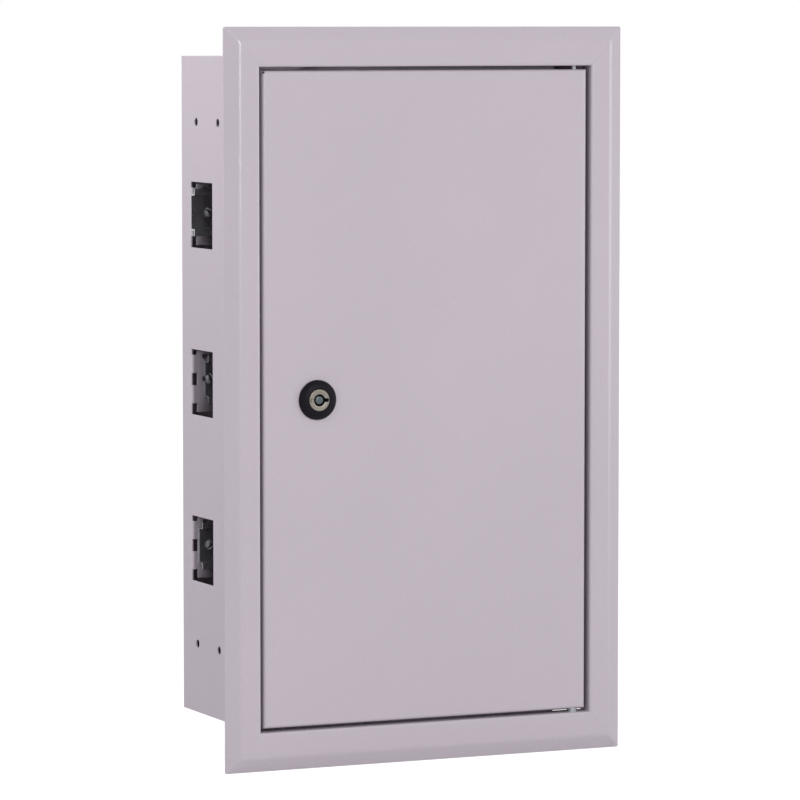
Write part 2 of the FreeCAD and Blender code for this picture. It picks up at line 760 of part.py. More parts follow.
def make_lock_cam():
    """Flat cam, hanging down when the lock is open; a quarter turn takes it behind the door stop."""
    body = new_body("lock_cam")
    arm = sketch(body, "XZ_Plane", "cam_back", ("lock_x", "lock_z"))
    rectangle(arm, "-cam_width / 2", "cam_width / 2", "-cam_reach", "0")
    pad(body, arm, "cam_thickness")
    hub = sketch(body, "XZ_Plane", "cam_back", ("lock_x", "lock_z"))
    many_sided(hub, "0", "0", "cam_hub", RING_SIDES)
    pad(body, hub, "cam_thickness")
    tip = -SIZES["cam_reach"] - SIZES["trim_drop"]
    fillet(body, "cam_width / 4", lambda e, m: along(e, 1) and abs(m.z - tip) < 1e-6)
    square = sketch(body, "XZ_Plane", "cam_face", ("lock_x", "lock_z"))
    half = "(plug_square + square_clearance) / 2"
    rectangle(square, f"-{half}", half, f"-{half}", half)
    pocket(body, square, "cam_thickness")
    return body


def make_lock_hardware():
    nut = cut(hexagon("lock_x", "lock_z", "door_skin - lock_nut_height", "door_skin", "lock_nut_flats"),
              prism("lock_x", "lock_z", "door_skin - lock_nut_height", "door_skin", "barrel_radius + 0.2",
                    RING_SIDES))
    node(nut, "lock_nut")
    seat = "cam_back - 0.3"
    head = hexagon("lock_x", "lock_z", f"{seat} - 2.8", seat, "4.5 * m_four")
    shank = prism("lock_x", "lock_z", f"{seat} - 1", f"{seat} + 5.5", "m_four", SHANK_SIDES)
    node(joined(head, shank), "cam_screw")


# Rails

def make_rail(label, row, start):
    """Slotted top-hat rail lying on the tabs; start is how far its left end stands out of the side wall."""
    body = new_body(label)
    middle = f"({row} * row_pitch + row_rise)"
    end = f"(-half_box - {start})"
    section = sketch(body, "YZ_Plane", end)
    web = "rail_web / 2"
    wing = "rail_width / 2"
    back = "-tab_depth"
    front = "-rail_front"
    outline(section, [
        (back, f"{middle} - {web}"), (back, f"{middle} + {web}"),
        (f"{front} + gauge", f"{middle} + {web}"), (f"{front} + gauge", f"{middle} + {wing}"),
        (front, f"{middle} + {wing}"), (front, f"{middle} + {web} - gauge"),
        (f"{back} - gauge", f"{middle} + {web} - gauge"), (f"{back} - gauge", f"{middle} - {web} + gauge"),
        (front, f"{middle} - {web} + gauge"), (front, f"{middle} - {wing}"),
        (f"{front} + gauge", f"{middle} - {wing}"), (f"{front} + gauge", f"{middle} - {web}")])
    pad(body, section, "rail_length")
    centre = row * SIZES["row_pitch"] + SIZES["row_rise"]
    half_web = SIZES["rail_web"] / 2

    def bends(edge, middle_point):
        off = abs(middle_point.z - centre)
        outer = abs(off - half_web) < 1e-6 and abs(middle_point.y + SIZES["tab_depth"]) < 1e-6
        lip_depth = SIZES["tab_depth"] + SIZES["rail_height"]
        lip = abs(off - half_web + SIZES["gauge"]) < 1e-6 and abs(middle_point.y + lip_depth) < 1e-6
        return along(edge, 0) and (outer or lip)

    fillet(body, "1.2 * gauge", bends)
    first = sketch(body, "XZ_Plane", "tab_depth + gauge")
    slot(first, f"{end} + rail_length / 2 - 4.5 * rail_slot_pitch", middle, "rail_slot_half", "rail_slot_radius")
    repeat(body, pocket(body, first, "gauge"), "H_Axis", "9 * rail_slot_pitch", 10)
    return body


RAIL_STARTS = {"top": "rail_start_top", "middle": "rail_start_middle", "bottom": "rail_start_bottom"}


def make_rail_fasteners():
    screws = []
    nuts = []
    for name, row in ROWS:
        start = RAIL_STARTS[name]
        z = f"({row} * row_pitch + row_rise)"
        left = f"(-half_box - {start} + rail_screw_inset)"
        right = f"(-half_box - {start} + rail_length - rail_screw_inset)"
        for x in (left, right):
            screws.append(pan_screw(x, z, "tab_depth + gauge", "tab_depth - gauge - 6", "m_five", "4.6", "3.2"))
            nuts.append(cut(hexagon(x, z, "tab_depth - gauge - 4", "tab_depth - gauge", "8"),
                            bore(x, z, "tab_depth - gauge - 4", "tab_depth - gauge", "m_five")))
    group(screws, "rail_screws")
    group(nuts, "rail_nuts")


# Cover plate over the devices

def make_inner_cover():
    body = new_body("inner_cover")
    plate = sketch(body, "XZ_Plane", "cover_back")
    rectangle(plate, "-cover_width / 2", "cover_width / 2", "-cover_height / 2", "cover_height / 2")
    pad(body, plate, "gauge")
    folds = sketch(body, "XZ_Plane", "cover_face - cover_fold")
    for up in (1, -1):
        outer = f"{up} * cover_height / 2"
        inner = f"{up} * (cover_height / 2 - gauge)"
        low, high = (inner, outer) if up > 0 else (outer, inner)
        rectangle(folds, "-cover_width / 2", "cover_width / 2", low, high)
    pad(body, folds, "cover_fold - gauge")
    holes = sketch(body, "XZ_Plane", "cover_face")
    for _, row in ROWS:
        middle = f"{row} * row_pitch + row_rise"
        rectangle(holes, "-window_width / 2", "window_width / 2",
                  f"{middle} - window_height / 2", f"{middle} + window_height / 2")
    pocket(body, holes, "gauge")
    for across in (-1, 1):
        screw_hole = sketch(body, "XZ_Plane", "cover_face")
        many_sided(screw_hole, f"{across} * cover_screw_x / 2", "-cover_screw_z / 2", "m_four + 0.3", SHANK_SIDES)
        repeat(body, pocket(body, screw_hole, "gauge"), "V_Axis", "cover_screw_z", 2)
    return body


def make_cover_fixings():
    """Four angle brackets on the side walls and the screws that hold the cover to them."""
    brackets = []
    screws = []
    for _, side in SIDES:
        for up in (1, -1):
            x = f"({side} * cover_screw_x / 2)"
            z = f"({up} * cover_screw_z / 2)"
            low = f"{z} - cover_bracket_height / 2"
            high = f"{z} + cover_bracket_height / 2"
            wall = f"{side} * inner_box"
            inset = f"{side} * (inner_box - bracket_gauge)"
            reach = f"{side} * (inner_box - cover_bracket_width)"
            leg_x = (wall, inset) if side < 0 else (inset, wall)
            face_x = (wall, reach) if side < 0 else (reach, wall)
            leg = solid_box(*leg_x, "cover_back - cover_bracket_leg", "cover_back", low, high)
            face = solid_box(*face_x, "cover_back - bracket_gauge", "cover_back", low, high)
            hole = bore(x, z, "cover_back - bracket_gauge", "cover_back", "m_four")
            brackets.append(cut(joined(leg, face), hole))
            screws.append(pan_screw(x, z, "cover_face", "cover_face - 10", "m_four", "4.2", "2.8"))
    group(brackets, "cover_brackets")
    group(screws, "cover_screws")


def make_trim_fixings():
    """Four angle brackets under the end plates and the screws that draw the trim frame to them."""
    brackets = []
    screws = []
    for _, side in SIDES:
        for up in (1, -1):
            x = f"({side} * ear_pitch / 2)"
            z = f"({up} * (half_opening_z - ear_inset) - trim_drop / 2)"
            wall = f"{up} * inner_top"
            inset = f"{up} * (inner_top - bracket_gauge)"
            tail = f"{z} - {up} * trim_bracket_tail"
            leg_z = (inset, wall) if up > 0 else (wall, inset)
            face_z = (tail, wall) if up > 0 else (wall, tail)
            across = (f"{x} - trim_bracket_width / 2", f"{x} + trim_bracket_width / 2")
            leg = solid_box(*across, "trim_bracket_face - trim_bracket_leg", "trim_bracket_face", *leg_z)
            face = solid_box(*across, "trim_bracket_face - bracket_gauge", "trim_bracket_face", *face_z)
            hole = bore(x, z, "trim_bracket_face - bracket_gauge", "trim_bracket_face", "m_four")
            brackets.append(cut(joined(leg, face), hole))
            screws.append(pan_screw(x, z, "stop_front", "trim_bracket_face - 6", "m_four", "4", "2.6"))
    group(brackets, "trim_brackets")
    group(screws, "trim_screws")


# Terminal bars and earth studs

def make_terminal_bar(name, up, clamps):
    """A screw bar on two insulating feet that stand on the back wall."""
    z = f"({up} * bar_offset)"
    bar = solid_box("-bar_length / 2", "bar_length / 2", "bar_seat", "bar_front",
                    f"{z} - bar_width / 2", f"{z} + bar_width / 2")
    screws = []
    for k in range(clamps):
        x = f"(({k} - {(clamps - 1) / 2}) * bar_pitch)"
        screws.append(prism(x, z, "bar_front", "bar_front + bar_screw_height", "bar_screw_radius", SHANK_SIDES))
    feet = []
    fixings = []
    for _, side in SIDES:
        x = f"({side} * foot_span / 2)"
        foot = solid_box(f"{x} - foot_width / 2", f"{x} + foot_width / 2", "gauge", "bar_seat",
                         f"{z} - foot_length / 2", f"{z} + foot_length / 2")
        sink = f"{z} - {up} * foot_length / 3"
        feet.append(cut(foot, bore(x, sink, "gauge", "bar_seat", "m_four")))
        fixings.append(pan_screw(x, sink, "bar_seat", "gauge", "m_four", "3.6", "2.4"))
    node(bar, f"{name}_bar")
    group(screws, f"{name}_bar_screws")
    group(feet, f"{name}_bar_feet")
    return fixings


def make_stud(name, x, z, base, forward):
    """A welded earth stud with its nut; forward is 1 when it points to the front."""
    span = (base, f"{base} + stud_length") if forward > 0 else (f"{base} - stud_length", base)
    nut_span = (base, f"{base} + stud_nut") if forward > 0 else (f"{base} - stud_nut", base)
    node(prism(x, z, *span, "m_six", HEAD_SIDES), f"{name}_earth_stud")
    node(cut(hexagon(x, z, *nut_span, "10"), prism(x, z, *nut_span, "m_six", HEAD_SIDES)), f"{name}_stud_nut")


make_box_shell()
make_end_plate("top_plate", 1)
make_end_plate("bottom_plate", -1)
make_trim_frame()
make_trim_fixings()
make_door_panel()
for end_name, end_up in ENDS:
    make_hinge_pin(f"{end_name}_hinge_pin", end_up)
make_lock_housing()
make_lock_plug()
make_lock_cam()
make_lock_hardware()
for row_name, row_up in ROWS:
    make_rail(f"{row_name}_din_rail", row_up, RAIL_STARTS[row_name])
make_rail_fasteners()
make_inner_cover()
make_cover_fixings()
bar_fixings = make_terminal_bar("neutral", 1, 8) + make_terminal_bar("earth", -1, 8)
group(bar_fixings, "bar_foot_screws")
make_stud("box", "-box_stud_x", "-box_stud_z", "gauge", 1)
make_stud("door", "door_stud_x", "door_stud_z", "door_skin", -1)
doc.recompute()

# Every object is looked at before anything is written
for thing in doc.Objects:
    if "Invalid" in thing.State or "Error" in thing.State:
        owner = thing.getParentGeoFeatureGroup()
        raise SystemExit(f"{thing.Name} of {owner.Label if owner else thing.Label} did not rebuild")
    if thing.TypeId == "PartDesign::Pocket":
        before = thing.BaseFeature.Shape.Volume
        if thing.Shape.Volume > before - 1e-3:
            raise SystemExit(f"{thing.Name} in {thing.getParentGeoFeatureGroup().Label} cuts nothing")

os.makedirs("parts", exist_ok=True)
for piece in NODES:
    shape = piece.Shape
    if shape.isNull() or not shape.isValid() or not shape.Solids:
        raise SystemExit(f"{piece.Label} has no valid solid")
    shape.exportStep(f"parts/{piece.Label}.step")
    print(f"{piece.Label}: {len(shape.Solids)} solid(s), {shape.Volume:.0f} mm3")
print(f"{len(NODES)} pieces")
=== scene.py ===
"""Looks of the flush-mounted distribution enclosure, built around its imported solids.

X runs to the right, Y back into the wall and Z up.  Lengths are millimetres and become metres when
a mesh is made, apart from names that end in _M or _m, which are metres already.  A depth is counted
from the back of the box towards the front, so a point at depth d lies at Y = -d.
"""
import json
import math

import bmesh
import bpy
import numpy as np
from mathutils import Matrix, Vector


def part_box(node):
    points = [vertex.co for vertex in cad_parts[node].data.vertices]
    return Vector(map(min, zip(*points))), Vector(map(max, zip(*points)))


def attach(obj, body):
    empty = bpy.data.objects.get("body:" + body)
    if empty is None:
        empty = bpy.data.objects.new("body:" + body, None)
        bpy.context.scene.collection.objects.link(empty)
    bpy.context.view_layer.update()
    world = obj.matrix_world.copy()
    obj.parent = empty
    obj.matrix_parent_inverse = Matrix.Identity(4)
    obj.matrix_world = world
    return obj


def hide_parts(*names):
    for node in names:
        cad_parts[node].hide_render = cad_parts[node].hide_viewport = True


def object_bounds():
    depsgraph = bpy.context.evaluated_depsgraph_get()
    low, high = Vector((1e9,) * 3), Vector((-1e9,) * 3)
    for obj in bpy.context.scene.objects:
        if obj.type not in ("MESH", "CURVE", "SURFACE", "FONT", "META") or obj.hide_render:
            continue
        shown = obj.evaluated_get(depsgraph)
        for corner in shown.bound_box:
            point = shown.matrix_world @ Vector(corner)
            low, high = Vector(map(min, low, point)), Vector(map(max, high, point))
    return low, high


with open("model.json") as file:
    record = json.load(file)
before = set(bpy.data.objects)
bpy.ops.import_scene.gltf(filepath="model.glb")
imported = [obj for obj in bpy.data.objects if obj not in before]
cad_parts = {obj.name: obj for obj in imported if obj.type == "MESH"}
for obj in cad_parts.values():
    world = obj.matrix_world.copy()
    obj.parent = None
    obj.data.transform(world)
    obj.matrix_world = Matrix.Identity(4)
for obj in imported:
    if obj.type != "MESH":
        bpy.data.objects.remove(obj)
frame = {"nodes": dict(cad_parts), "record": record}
cad_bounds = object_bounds()

MM = 1000.0  # millimetres in a metre


def box_of(node):
    """Lowest and highest corner of a node's solids at rest, in millimetres."""
    low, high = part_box(node)
    return np.array(low) * MM, np.array(high) * MM


# Trim frame: halves of width and height, depths, and how far its middle lies under the box's
low, high = box_of("trim_frame")
GAUGE = 1.0
RIM = ((high[0] - low[0]) / 2, (high[2] - low[2]) / 2)
TRIM_DROP = -(high[2] + low[2]) / 2
TRIM_FACE = -low[1]
STOP_BACK = -high[1]
STOP_FRONT = STOP_BACK + GAUGE
STOP_WIDTH = 8.0
STOP_END = 109.5
RIM_BACK = 142.0
BEVEL = 10.5
EAR_PLACE = 90.0
EAR_HALF = (8.0, 9.0)
EAR_SLOT_HALF = (2.2, 6.3)
EAR_SLOT_SHIFT = 4.0

# Door leaf, and the mouth of the trim frame round it
low, high = box_of("door_panel")
DOOR_GAP = (3.0, 2.7)
DOOR_FACE = -low[1]
MOUTH = ((high[0] - low[0]) / 2 + DOOR_GAP[0], (high[2] - low[2]) / 2 + DOOR_GAP[1])

# Lock plug, with its square tail for the cam
low, high = box_of("lock_plug")
LOCK = ((high[0] + low[0]) / 2, (high[2] + low[2]) / 2)
PLUG_RADIUS = (high[0] - low[0]) / 2
PLUG_FACE = -low[1]
PLUG_BACK = 131.5
TAIL_HALF = 4.0
TAIL_END = -high[1]

# Lock housing
low, high = box_of("lock_housing")
BEZEL_RADIUS = high[0] - LOCK[0]
BEZEL_FACE = -low[1]
BARREL_RADIUS = 9.55
BARREL_END = -high[1]

# Softer corners of the trim frame, and the step that keeps two surfaces out of one plane
SHARP_CORNER = 0.15
ROUND_CORNER = 1.4
FLAT_GROWTH = (2.0, 12.0)
STOP_LAP = 0.5
EAR_CORNER = 0.8
SKIN = 0.02

# Dome, keyway and notches of the lock
BEZEL_FOOT = 0.6
DOME_REACH = 5.2
DOME_RISE = 4.2
PLUG_GAP = 0.06
KEYWAY_RADIUS = 4.3
KEYWAY_DEPTH = 6.5
POST_RADIUS = 3.05
NOTCH_REACH = 7.3
NOTCH_HALVES = (1.25, 1.0)
NOTCH_STEP = 0.45
NOTCH_EDGE = 0.004
# Depth behind the bezel's face past which the keyway's faces get near-black painted shade
PAINTED_SHADE_DEPTH = 1.6

# Screw heads: width of the slot, its bottom as a share of the height, and points across a head
SLOT_WIDTH = 1.1
SLOT_BOTTOM = 0.45
HEAD_ROWS = 9
HEAD_COLUMNS = 17


# Shapes

def new_piece(name, points, faces, material, body, smooth=True):
    """A mesh piece from points in millimetres, with its object at the origin."""
    mesh = bpy.data.meshes.new(name)
    mesh.from_pydata((np.asarray(points, float) / MM).tolist(), [], [list(map(int, f)) for f in faces])
    surface = bmesh.new()
    surface.from_mesh(mesh)
    bmesh.ops.remove_doubles(surface, verts=surface.verts, dist=1e-7)
    bmesh.ops.recalc_face_normals(surface, faces=surface.faces)
    surface.to_mesh(mesh)
    surface.free()
    piece = bpy.data.objects.new(name, mesh)
    bpy.context.scene.collection.objects.link(piece)
    mesh.materials.append(material)
    mesh.polygons.foreach_set("use_smooth", np.full(len(mesh.polygons), smooth))
    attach(piece, body)
    return piece


def grid_faces(rows, columns, wrap_rows=False, wrap_columns=False):
    """Quads between neighbouring points of a grid; a wrapped direction joins its end to its start."""
    r = np.arange(rows if wrap_rows else rows - 1)
    c = np.arange(columns if wrap_columns else columns - 1)
    r, c = (a.ravel() for a in np.meshgrid(r, c, indexing="ij"))
    r_next = (r + 1) % rows
    c_next = (c + 1) % columns
    corners = [r * columns + c, r * columns + c_next, r_next * columns + c_next, r_next * columns + c]
    return np.stack(corners, 1).tolist()


def rounded(corners, steps):
    """A closed profile from corners (out, depth, softness).

    Each corner is swapped for a parabola that leaves and meets its two sides at the softness
    from the corner: (1-t)^2 A + 2t(1-t) C + t^2 B for t from 0 to 1.
    """
    places = np.asarray(corners, float)[:, :2]
    t = np.linspace(0, 1, steps)[:, None]
    arcs = []
    for i, (_, _, softness) in enumerate(corners):
        corner = places[i]
        before = places[i - 1] - corner
        after = places[(i + 1) % len(places)] - corner
        a = corner + before / np.linalg.norm(before) * softness
        b = corner + after / np.linalg.norm(after) * softness
        arcs.append((1 - t) ** 2 * a + 2 * t * (1 - t) * corner + t ** 2 * b)
    return np.concatenate(arcs)


def rounded_rectangle(half_x, half_z, radius, steps):
    """Points round a rectangle, each corner a quarter circle: centre + radius (cos a, sin a)."""
    quarter = np.linspace(0, math.pi / 2, steps)
    angle = np.concatenate([quarter + k * math.pi / 2 for k in range(4)])
    side_x = np.repeat([1, -1, -1, 1], steps)
    side_z = np.repeat([1, 1, -1, -1], steps)
    x = side_x * (half_x - radius) + radius * np.cos(angle)
    z = side_z * (half_z - radius) + radius * np.sin(angle)
    return np.stack([x, z], 1)


def at_depth(loop, depth):
    """The points of a flat loop (x, z) at a depth."""
    return np.stack([loop[:, 0], np.full(len(loop), -depth), loop[:, 1]], 1)


def turned(profile, centre, sides):
    """A profile turned about an axis along Y: (r, d) becomes (x0 + r sin a, -d, z0 + r cos a)."""
    profile = np.asarray(profile, float)
    angle = np.linspace(0, 2 * math.pi, sides, endpoint=False)
    r, d = profile[:, :1], profile[:, 1:]
    points = np.stack([centre[0] + r * np.sin(angle), -d + 0 * angle, centre[1] + r * np.cos(angle)], 2)
    return points.reshape(-1, 3), grid_faces(len(profile), sides, False, True)


def merged(parts):
    """Several point and face lists as one."""
    points, faces, start = [], [], 0
    for part_points, part_faces in parts:
        points.append(np.asarray(part_points, float))
        faces += [[i + start for i in f] for f in part_faces]
        start += len(part_points)
    return np.concatenate(points), faces


def slotted_head(centre, seat, radius, height, turn):
    """A domed screw head with a screwdriver slot, facing the front.

    A grid of rows across the head: x = u sqrt(R^2 - z^2).  The dome is height (1 - (r/R)^4)^(1/2),
    and the two rows in the slot reach no higher than its bottom.
    """
    half_slot = SLOT_WIDTH / 2
    to_slot = np.linspace(0, math.acos(half_slot / radius), HEAD_ROWS)
    in_slot = half_slot * 0.98
    z = np.concatenate([-radius * np.cos(to_slot), [-in_slot, in_slot], radius * np.cos(to_slot[::-1])])
    low = np.zeros(len(z), bool)
    low[HEAD_ROWS:HEAD_ROWS + 2] = True
    u = np.sin(np.linspace(-math.pi / 2, math.pi / 2, HEAD_COLUMNS))
    across = np.sqrt(np.maximum(radius ** 2 - z ** 2, 0))[:, None] * u
    up = np.broadcast_to(z[:, None], across.shape)
    r = np.hypot(across, up) / radius
    dome = height * np.sqrt(np.maximum(1 - r ** 4, 0))
    dome = np.where(low[:, None], np.minimum(dome, height * SLOT_BOTTOM), dome)
    c, s = math.cos(turn), math.sin(turn)
    points = np.stack([centre[0] + c * across - s * up, -seat - dome, centre[1] + s * across + c * up], 2)
    return points.reshape(-1, 3), grid_faces(len(z), HEAD_COLUMNS)


# Parts of a material

def new_material(name):
    """A material with its node tree, its shader and the piece's own coordinates."""
    material = bpy.data.materials.new(name)
    material.use_nodes = True
    tree = material.node_tree
    place = tree.nodes.new("ShaderNodeTexCoord").outputs["Object"]
    return material, tree, tree.nodes["Principled BSDF"], place


def group_of(name, inputs, outputs):
    """A node group with a place, float inputs (name, default) and float outputs."""
    tree = bpy.data.node_groups.new(name, "ShaderNodeTree")
    tree.interface.new_socket("Place", in_out="INPUT", socket_type="NodeSocketVector")
    for label, default in inputs:
        socket = tree.interface.new_socket(label, in_out="INPUT", socket_type="NodeSocketFloat")
        socket.default_value = default
    for label in outputs:
        tree.interface.new_socket(label, in_out="OUTPUT", socket_type="NodeSocketFloat")
    return tree, tree.nodes.new("NodeGroupInput").outputs, tree.nodes.new("NodeGroupOutput").inputs


def math_node(tree, operation, a, b=None):
    """A Math node; a and b are sockets or numbers."""
    node = tree.nodes.new("ShaderNodeMath")
    node.operation = operation
    for socket, value in zip(node.inputs, (a, b)):
        if value is None:
            continue
        if isinstance(value, (int, float)):
            socket.default_value = value
        else:
            tree.links.new(value, socket)
    return node.outputs[0]


def noise(tree, place, scale, detail, roughness=0.5):
    """A Noise Texture; scale is a socket or a number per metre."""
    node = tree.nodes.new("ShaderNodeTexNoise")
    tree.links.new(place, node.inputs["Vector"])
    if isinstance(scale, (int, float)):
        node.inputs["Scale"].default_value = scale
    else:
        tree.links.new(scale, node.inputs["Scale"])
    node.inputs["Detail"].default_value = detail
    node.inputs["Roughness"].default_value = roughness
    return node.outputs["Fac"]


def make_coat_grain():
    """Powder coat: a fine orange-peel height, and a slow drift of tone over the sheet."""
    tree, given, result = group_of("coat_grain", [("Grain", 900.0), ("Drift", 1.0)], ["Height", "Tone"])
    place = given["Place"]
    fine = noise(tree, place, given["Grain"], 2.0, 0.6)
    broad = noise(tree, place, math_node(tree, "MULTIPLY", given["Grain"], 0.28), 1.0)
    height = math_node(tree, "ADD", fine, math_node(tree, "MULTIPLY", broad, 0.8))
    slow = math_node(tree, "SUBTRACT", noise(tree, place, 6.0, 3.0), 0.5)
    speck = math_node(tree, "SUBTRACT", noise(tree, place, 420.0, 2.0), 0.5)
    both = math_node(tree, "ADD", slow, math_node(tree, "MULTIPLY", speck, 0.5))
    tree.links.new(height, result["Height"])
    tree.links.new(math_node(tree, "MULTIPLY", both, given["Drift"]), result["Tone"])
    return tree


def make_metal_grain():
    """Drawn or turned metal: fine streaks along one axis, and blotches of dullness."""
    tree, given, result = group_of("metal_grain", [("Streak", 60.0), ("Fine", 2500.0)], ["Height", "Dull"])
    scales = tree.nodes.new("ShaderNodeCombineXYZ")
    for socket, label in zip(scales.inputs, ("Streak", "Fine", "Fine")):
        tree.links.new(given[label], socket)
    stretch = tree.nodes.new("ShaderNodeVectorMath")
    stretch.operation = "MULTIPLY"
    tree.links.new(given["Place"], stretch.inputs[0])
    tree.links.new(scales.outputs[0], stretch.inputs[1])
    tree.links.new(noise(tree, stretch.outputs[0], 1.0, 3.0), result["Height"])
    tree.links.new(noise(tree, given["Place"], 90.0, 4.0, 0.6), result["Dull"])
    return tree


COAT_GRAIN = make_coat_grain()
METAL_GRAIN = make_metal_grain()


def use_group(tree, group, place, **values):
    """A node group at a place, with its inputs set by name."""
    node = tree.nodes.new("ShaderNodeGroup")
    node.node_tree = group
    tree.links.new(place, node.inputs["Place"])
    for label, value in values.items():
        node.inputs[label].default_value = value
    return node.outputs


def scaled(colour, share):
    """A colour made lighter or darker by a share."""
    return tuple(c * share for c in colour)


def between(tree, factor, low, high):
    """A colour between two by a factor; low is a colour or a socket."""
    node = tree.nodes.new("ShaderNodeMix")
    node.data_type = "RGBA"
    tree.links.new(factor, node.inputs["Factor"])
    if isinstance(low, tuple):
        node.inputs["A"].default_value = (*low, 1)
    else:
        tree.links.new(low, node.inputs["A"])
    node.inputs["B"].default_value = (*high, 1)
    return node.outputs["Result"]


def span(tree, value, from_low, from_high, low, high):
    """A value moved from one range to another."""
    node = tree.nodes.new("ShaderNodeMapRange")
    tree.links.new(value, node.inputs["Value"])
    ends = {"From Min": from_low, "From Max": from_high, "To Min": low, "To Max": high}
    for label, number in ends.items():
        node.inputs[label].default_value = number
    return node.outputs["Result"]


def uneven(tree, shader, height, rough):
    """Roughness that rises and falls with the coat's height."""
    tree.links.new(span(tree, height, 0.6, 1.2, rough * 0.85, rough * 1.15), shader.inputs["Roughness"])


def bump(tree, shader, height, distance_m, strength, edge_m):
    """Relief from a height; an edge also softens the sheet's corners."""
    node = tree.nodes.new("ShaderNodeBump")
    node.inputs["Distance"].default_value = distance_m
    node.inputs["Strength"].default_value = strength
    tree.links.new(height, node.inputs["Height"])
    if edge_m:
        soft = tree.nodes.new("ShaderNodeBevel")
        soft.samples = 6
        soft.inputs["Radius"].default_value = edge_m
        tree.links.new(soft.outputs["Normal"], node.inputs["Normal"])
    tree.links.new(node.outputs["Normal"], shader.inputs["Normal"])


def apart(tree, place):
    """X, Y and Z of a place."""
    node = tree.nodes.new("ShaderNodeSeparateXYZ")
    tree.links.new(place, node.inputs[0])
    return node.outputs


# Where shade is painted into the coat, and where the mitre seam has a line: places in the object's own
# coordinates

# Depths over which painted shade fades in within the rebate, and widths over which it fades in on the box's
# tabs
REBATE_FADE_M = (-0.1405, -0.1355)
BOX_FADE_M = (0.131, 0.121)
COVER_BACK_M = -0.074
BACK_SHEET_M = -0.003
END_SHEET_M = 0.2448
SEAM_EDGE_M = (0.00045, 0.0001)
SEAM_FADE_M = (0.004, 0.014)
SEAM_LEAST = 0.15


def rebate_painted_shade(tree, place):
    """1 in the depth of the door rebate, where shade is painted into the coat, 0 on the face."""
    return span(tree, apart(tree, place)["Y"], *REBATE_FADE_M, 0, 1)


def box_painted_shade(tree, place):
    """1 on the tabs and edges between cover and back sheet, where shade is painted into the coat, 0
    elsewhere.
    """
    x, y, z = apart(tree, place)
    wide = span(tree, math_node(tree, "ABSOLUTE", x), *BOX_FADE_M, 0, 1)
    behind = math_node(tree, "GREATER_THAN", y, COVER_BACK_M)
    clear = math_node(tree, "LESS_THAN", y, BACK_SHEET_M)
    below = math_node(tree, "LESS_THAN", math_node(tree, "ABSOLUTE", z), END_SHEET_M)
    within = math_node(tree, "MULTIPLY", behind, clear)
    return math_node(tree, "MULTIPLY", wide, math_node(tree, "MULTIPLY", within, below))


def on_mitre(tree, place):
    """1 on the line where the trim's strips meet, strongest at the mouth's corner, 0 elsewhere."""
    x, _, z = apart(tree, place)
    across = math_node(tree, "SUBTRACT", math_node(tree, "ABSOLUTE", x), MOUTH[0] / MM)
    up = math_node(tree, "ABSOLUTE", math_node(tree, "ADD", z, TRIM_DROP / MM))
    up = math_node(tree, "SUBTRACT", up, MOUTH[1] / MM)
    flat_side = RIM[0] - MOUTH[0]
    flat_end = RIM[1] - MOUTH[1]
    diagonal = math.hypot(flat_side, flat_end)
    off = math_node(tree, "SUBTRACT", math_node(tree, "MULTIPLY", across, flat_end / diagonal),
                    math_node(tree, "MULTIPLY", up, flat_side / diagonal))
    line = span(tree, math_node(tree, "ABSOLUTE", off), *SEAM_EDGE_M, 0, 1)
    return math_node(tree, "MULTIPLY", line, span(tree, across, *SEAM_FADE_M, 1, SEAM_LEAST))


# Materials

PAINT = (0.565, 0.503, 0.568)


def powder_coat(name, edge_m, rough=0.24, gloss=0.6, painted_shade=None, seam=None):
    """Satin textured powder coat on steel.

    The painted_shade argument is a mask and the share of brightness under it, where the colour is darkened
    as painted shade; seam is the mask of a line.
    """
    material, tree, shader, place = new_material(name)
    coat = use_group(tree, COAT_GRAIN, place, Grain=900.0, Drift=1.0)
    tone = span(tree, coat["Tone"], -0.3, 0.3, 0, 1)
    shade = between(tree, tone, scaled(PAINT, 0.97), scaled(PAINT, 1.03))
    height = coat["Height"]
    # Painted shade: under the mask the colour is darkened to a share of the paint
    if painted_shade:
        mask, share = painted_shade
        shade = between(tree, mask(tree, place), shade, scaled(PAINT, share))
    if seam:
        line = seam(tree, place)
        shade = between(tree, math_node(tree, "MULTIPLY", line, 0.18), shade, scaled(PAINT, 0.6))
        height = math_node(tree, "SUBTRACT", height, math_node(tree, "MULTIPLY", line, 0.9))
    tree.links.new(shade, shader.inputs["Base Color"])
    shader.inputs["Specular IOR Level"].default_value = gloss
    uneven(tree, shader, coat["Height"], rough)
    bump(tree, shader, height, 0.00006, 0.55, edge_m)
    return material


def bare_metal(name, colour, rough, streak, fine, edge_m=0.0):
    """Plated or bare metal with its grain; streak and fine are scales per metre."""
    material, tree, shader, place = new_material(name)
    grain = use_group(tree, METAL_GRAIN, place, Streak=streak, Fine=fine)
    tree.links.new(between(tree, grain["Dull"], colour, scaled(colour, 0.8)), shader.inputs["Base Color"])
    tree.links.new(span(tree, grain["Dull"], 0.3, 0.7, rough * 0.8, rough * 1.2), shader.inputs["Roughness"])
    shader.inputs["Metallic"].default_value = 1.0
    bump(tree, shader, grain["Height"], 0.00002, 0.6, edge_m)
    return material


def moulding(name, colour, rough, gloss, edge_m=0.0):
    """Plain moulded plastic or lacquer, very slightly uneven."""
    material, tree, shader, place = new_material(name)
    coat = use_group(tree, COAT_GRAIN, place, Grain=2200.0, Drift=0.6)
    tone = span(tree, coat["Tone"], -0.2, 0.2, 0, 1)
    tree.links.new(between(tree, tone, colour, scaled(colour, 1.25)), shader.inputs["Base Color"])
    shader.inputs["Specular IOR Level"].default_value = gloss
    uneven(tree, shader, coat["Height"], rough)
    bump(tree, shader, coat["Height"], 0.00002, 0.5, edge_m)
    return material
